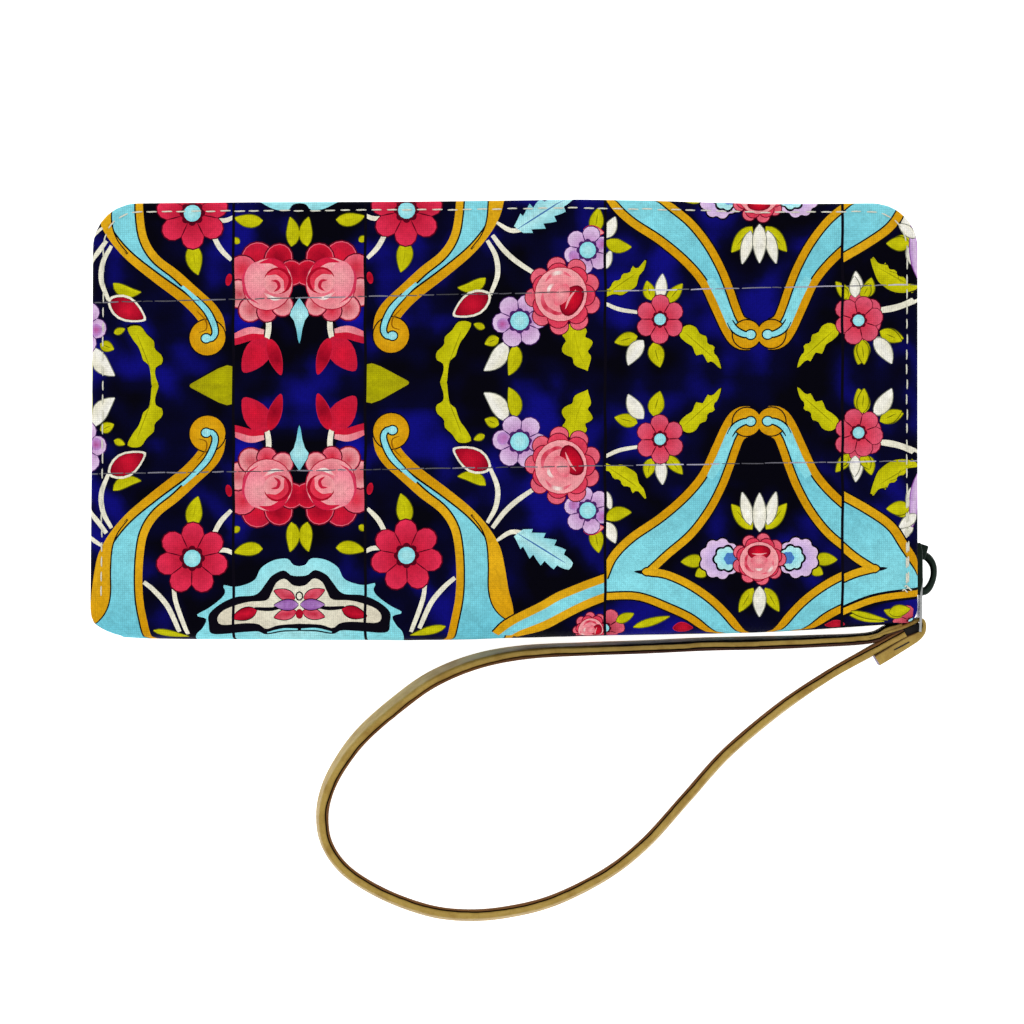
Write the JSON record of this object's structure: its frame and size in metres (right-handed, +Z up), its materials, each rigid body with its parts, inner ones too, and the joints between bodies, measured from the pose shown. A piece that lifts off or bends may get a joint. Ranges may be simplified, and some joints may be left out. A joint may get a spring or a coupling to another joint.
{
  "type": "wristlet wallet",
  "caption": "Zip-around wallet in floral printed cloth over stiff boards, with card slots, dividers and a zipped coin pocket inside, and a doubled leather wrist strap on the zip's pull.",
  "frame": {"origin": "centre of the back cover's outer face, on which the closed wallet lies", "axes": "+X along the long side towards the slider, +Y from the spine towards the long zipped edge, +Z up through the front cover"},
  "size_m": [0.1998, 0.1699, 0.021],
  "materials": {
    "printed_cloth": "woven cotton, printed in navy with flowers and ribbons",
    "board": "grey-brown board",
    "lining": "dark blue twill",
    "page_leather": "dark grained imitation leather",
    "zip_tape": "black woven tape",
    "zip_teeth": "black nylon",
    "black_metal": "blackened gloss",
    "silver_metal": "nickel plate",
    "strap_leather": "tan smooth leather, dark waxed edges"
  },
  "bodies": {
    "back_half": {"back_board": "board", "back_card_slot_1": "page_leather", "back_card_slot_2": "page_leather", "back_card_slot_3": "page_leather", "back_card_slot_4": "page_leather", "back_cover": "printed_cloth", "back_lining": "lining", "back_zip_tape": "zip_tape", "back_zip_teeth": "zip_teeth", "left_gusset": "lining", "right_gusset": "lining", "spine_cover": "printed_cloth", "zip_bottom_stop": "black_metal", "zip_top_stop_back": "black_metal"},
    "front_half": {"front_board": "board", "front_card_slot_1": "page_leather", "front_card_slot_2": "page_leather", "front_card_slot_3": "page_leather", "front_card_slot_4": "page_leather", "front_cover": "printed_cloth", "front_lining": "lining", "front_zip_tape": "zip_tape", "front_zip_teeth": "zip_teeth", "zip_top_stop_front": "black_metal"},
    "back_divider": {"back_divider": "page_leather"},
    "front_divider": {"front_divider": "page_leather"},
    "coin_pocket": {"coin_pocket_back": "page_leather", "coin_pocket_front": "page_leather", "coin_zip_tape_back": "zip_tape", "coin_zip_tape_front": "zip_tape", "coin_zip_teeth_back": "zip_teeth", "coin_zip_teeth_front": "zip_teeth"},
    "coin_zip_slider": {"coin_zip_slider": "silver_metal"},
    "coin_zip_pull": {"coin_zip_pull": "silver_metal"},
    "zip_slider": {"zip_slider": "black_metal", "slider_crown": "black_metal"},
    "zip_pull": {"zip_pull": "silver_metal"},
    "wrist_strap": {"wrist_strap": "strap_leather", "strap_end_fold": "strap_leather"}
  },
  "joints": [
    {"name": "cover_open", "type": "hinge", "parent": "back_half", "child": "front_half", "pos_m": [0, -0.052, 0.0105], "axis": [1, 0, 0], "range_deg": [0, 75], "deforming": ["spine_cover", "left_gusset", "right_gusset", "front_zip_tape", "front_zip_teeth"]},
    {"name": "back_divider_turn", "type": "hinge", "parent": "back_half", "child": "back_divider", "pos_m": [0, -0.052, 0.0105], "axis": [1, 0, 0], "range_deg": [0, 15]},
    {"name": "coin_pocket_turn", "type": "hinge", "parent": "back_half", "child": "coin_pocket", "pos_m": [0, -0.052, 0.0105], "axis": [1, 0, 0], "range_deg": [0, 37.5]},
    {"name": "front_divider_turn", "type": "hinge", "parent": "back_half", "child": "front_divider", "pos_m": [0, -0.052, 0.0105], "axis": [1, 0, 0], "range_deg": [0, 60]},
    {"name": "coin_zip_slide", "type": "slide", "parent": "coin_pocket", "child": "coin_zip_slider", "axis": [1, 0, 0], "range_m": [0, 0.14]},
    {"name": "coin_pull_swing", "type": "hinge", "parent": "coin_zip_slider", "child": "coin_zip_pull", "pos_m": [-0.074, 0.0336, 0.0105], "axis": [0, 0, 1], "range_deg": [0, 90]},
    {"name": "zip_slide", "type": "slide", "parent": "back_half", "child": "zip_slider", "axis": [0, 1, 0], "range_m": [0, 0.068], "deforming": ["back_zip_teeth"]},
    {"name": "zip_pull_swing", "type": "hinge", "parent": "zip_slider", "child": "zip_pull", "pos_m": [0.0994, -0.0381, 0.0105], "axis": [0, 0, 1], "range_deg": [0, 90]},
    {"name": "strap_swing", "type": "hinge", "parent": "zip_pull", "child": "wrist_strap", "pos_m": [0.0983, -0.0498, 0.0105], "axis": [0, 0, 1], "range_deg": [0, 100], "deforming": ["wrist_strap", "strap_end_fold"]}
  ],
  "couplings": [
    {"joint": "back_divider_turn", "follows": "cover_open", "ratio": 0.2},
    {"joint": "coin_pocket_turn", "follows": "cover_open", "ratio": 0.5},
    {"joint": "front_divider_turn", "follows": "cover_open", "ratio": 0.8},
    {"joint": "strap_swing", "follows": "zip_slide", "rad_per_m": 25.6}
  ]
}
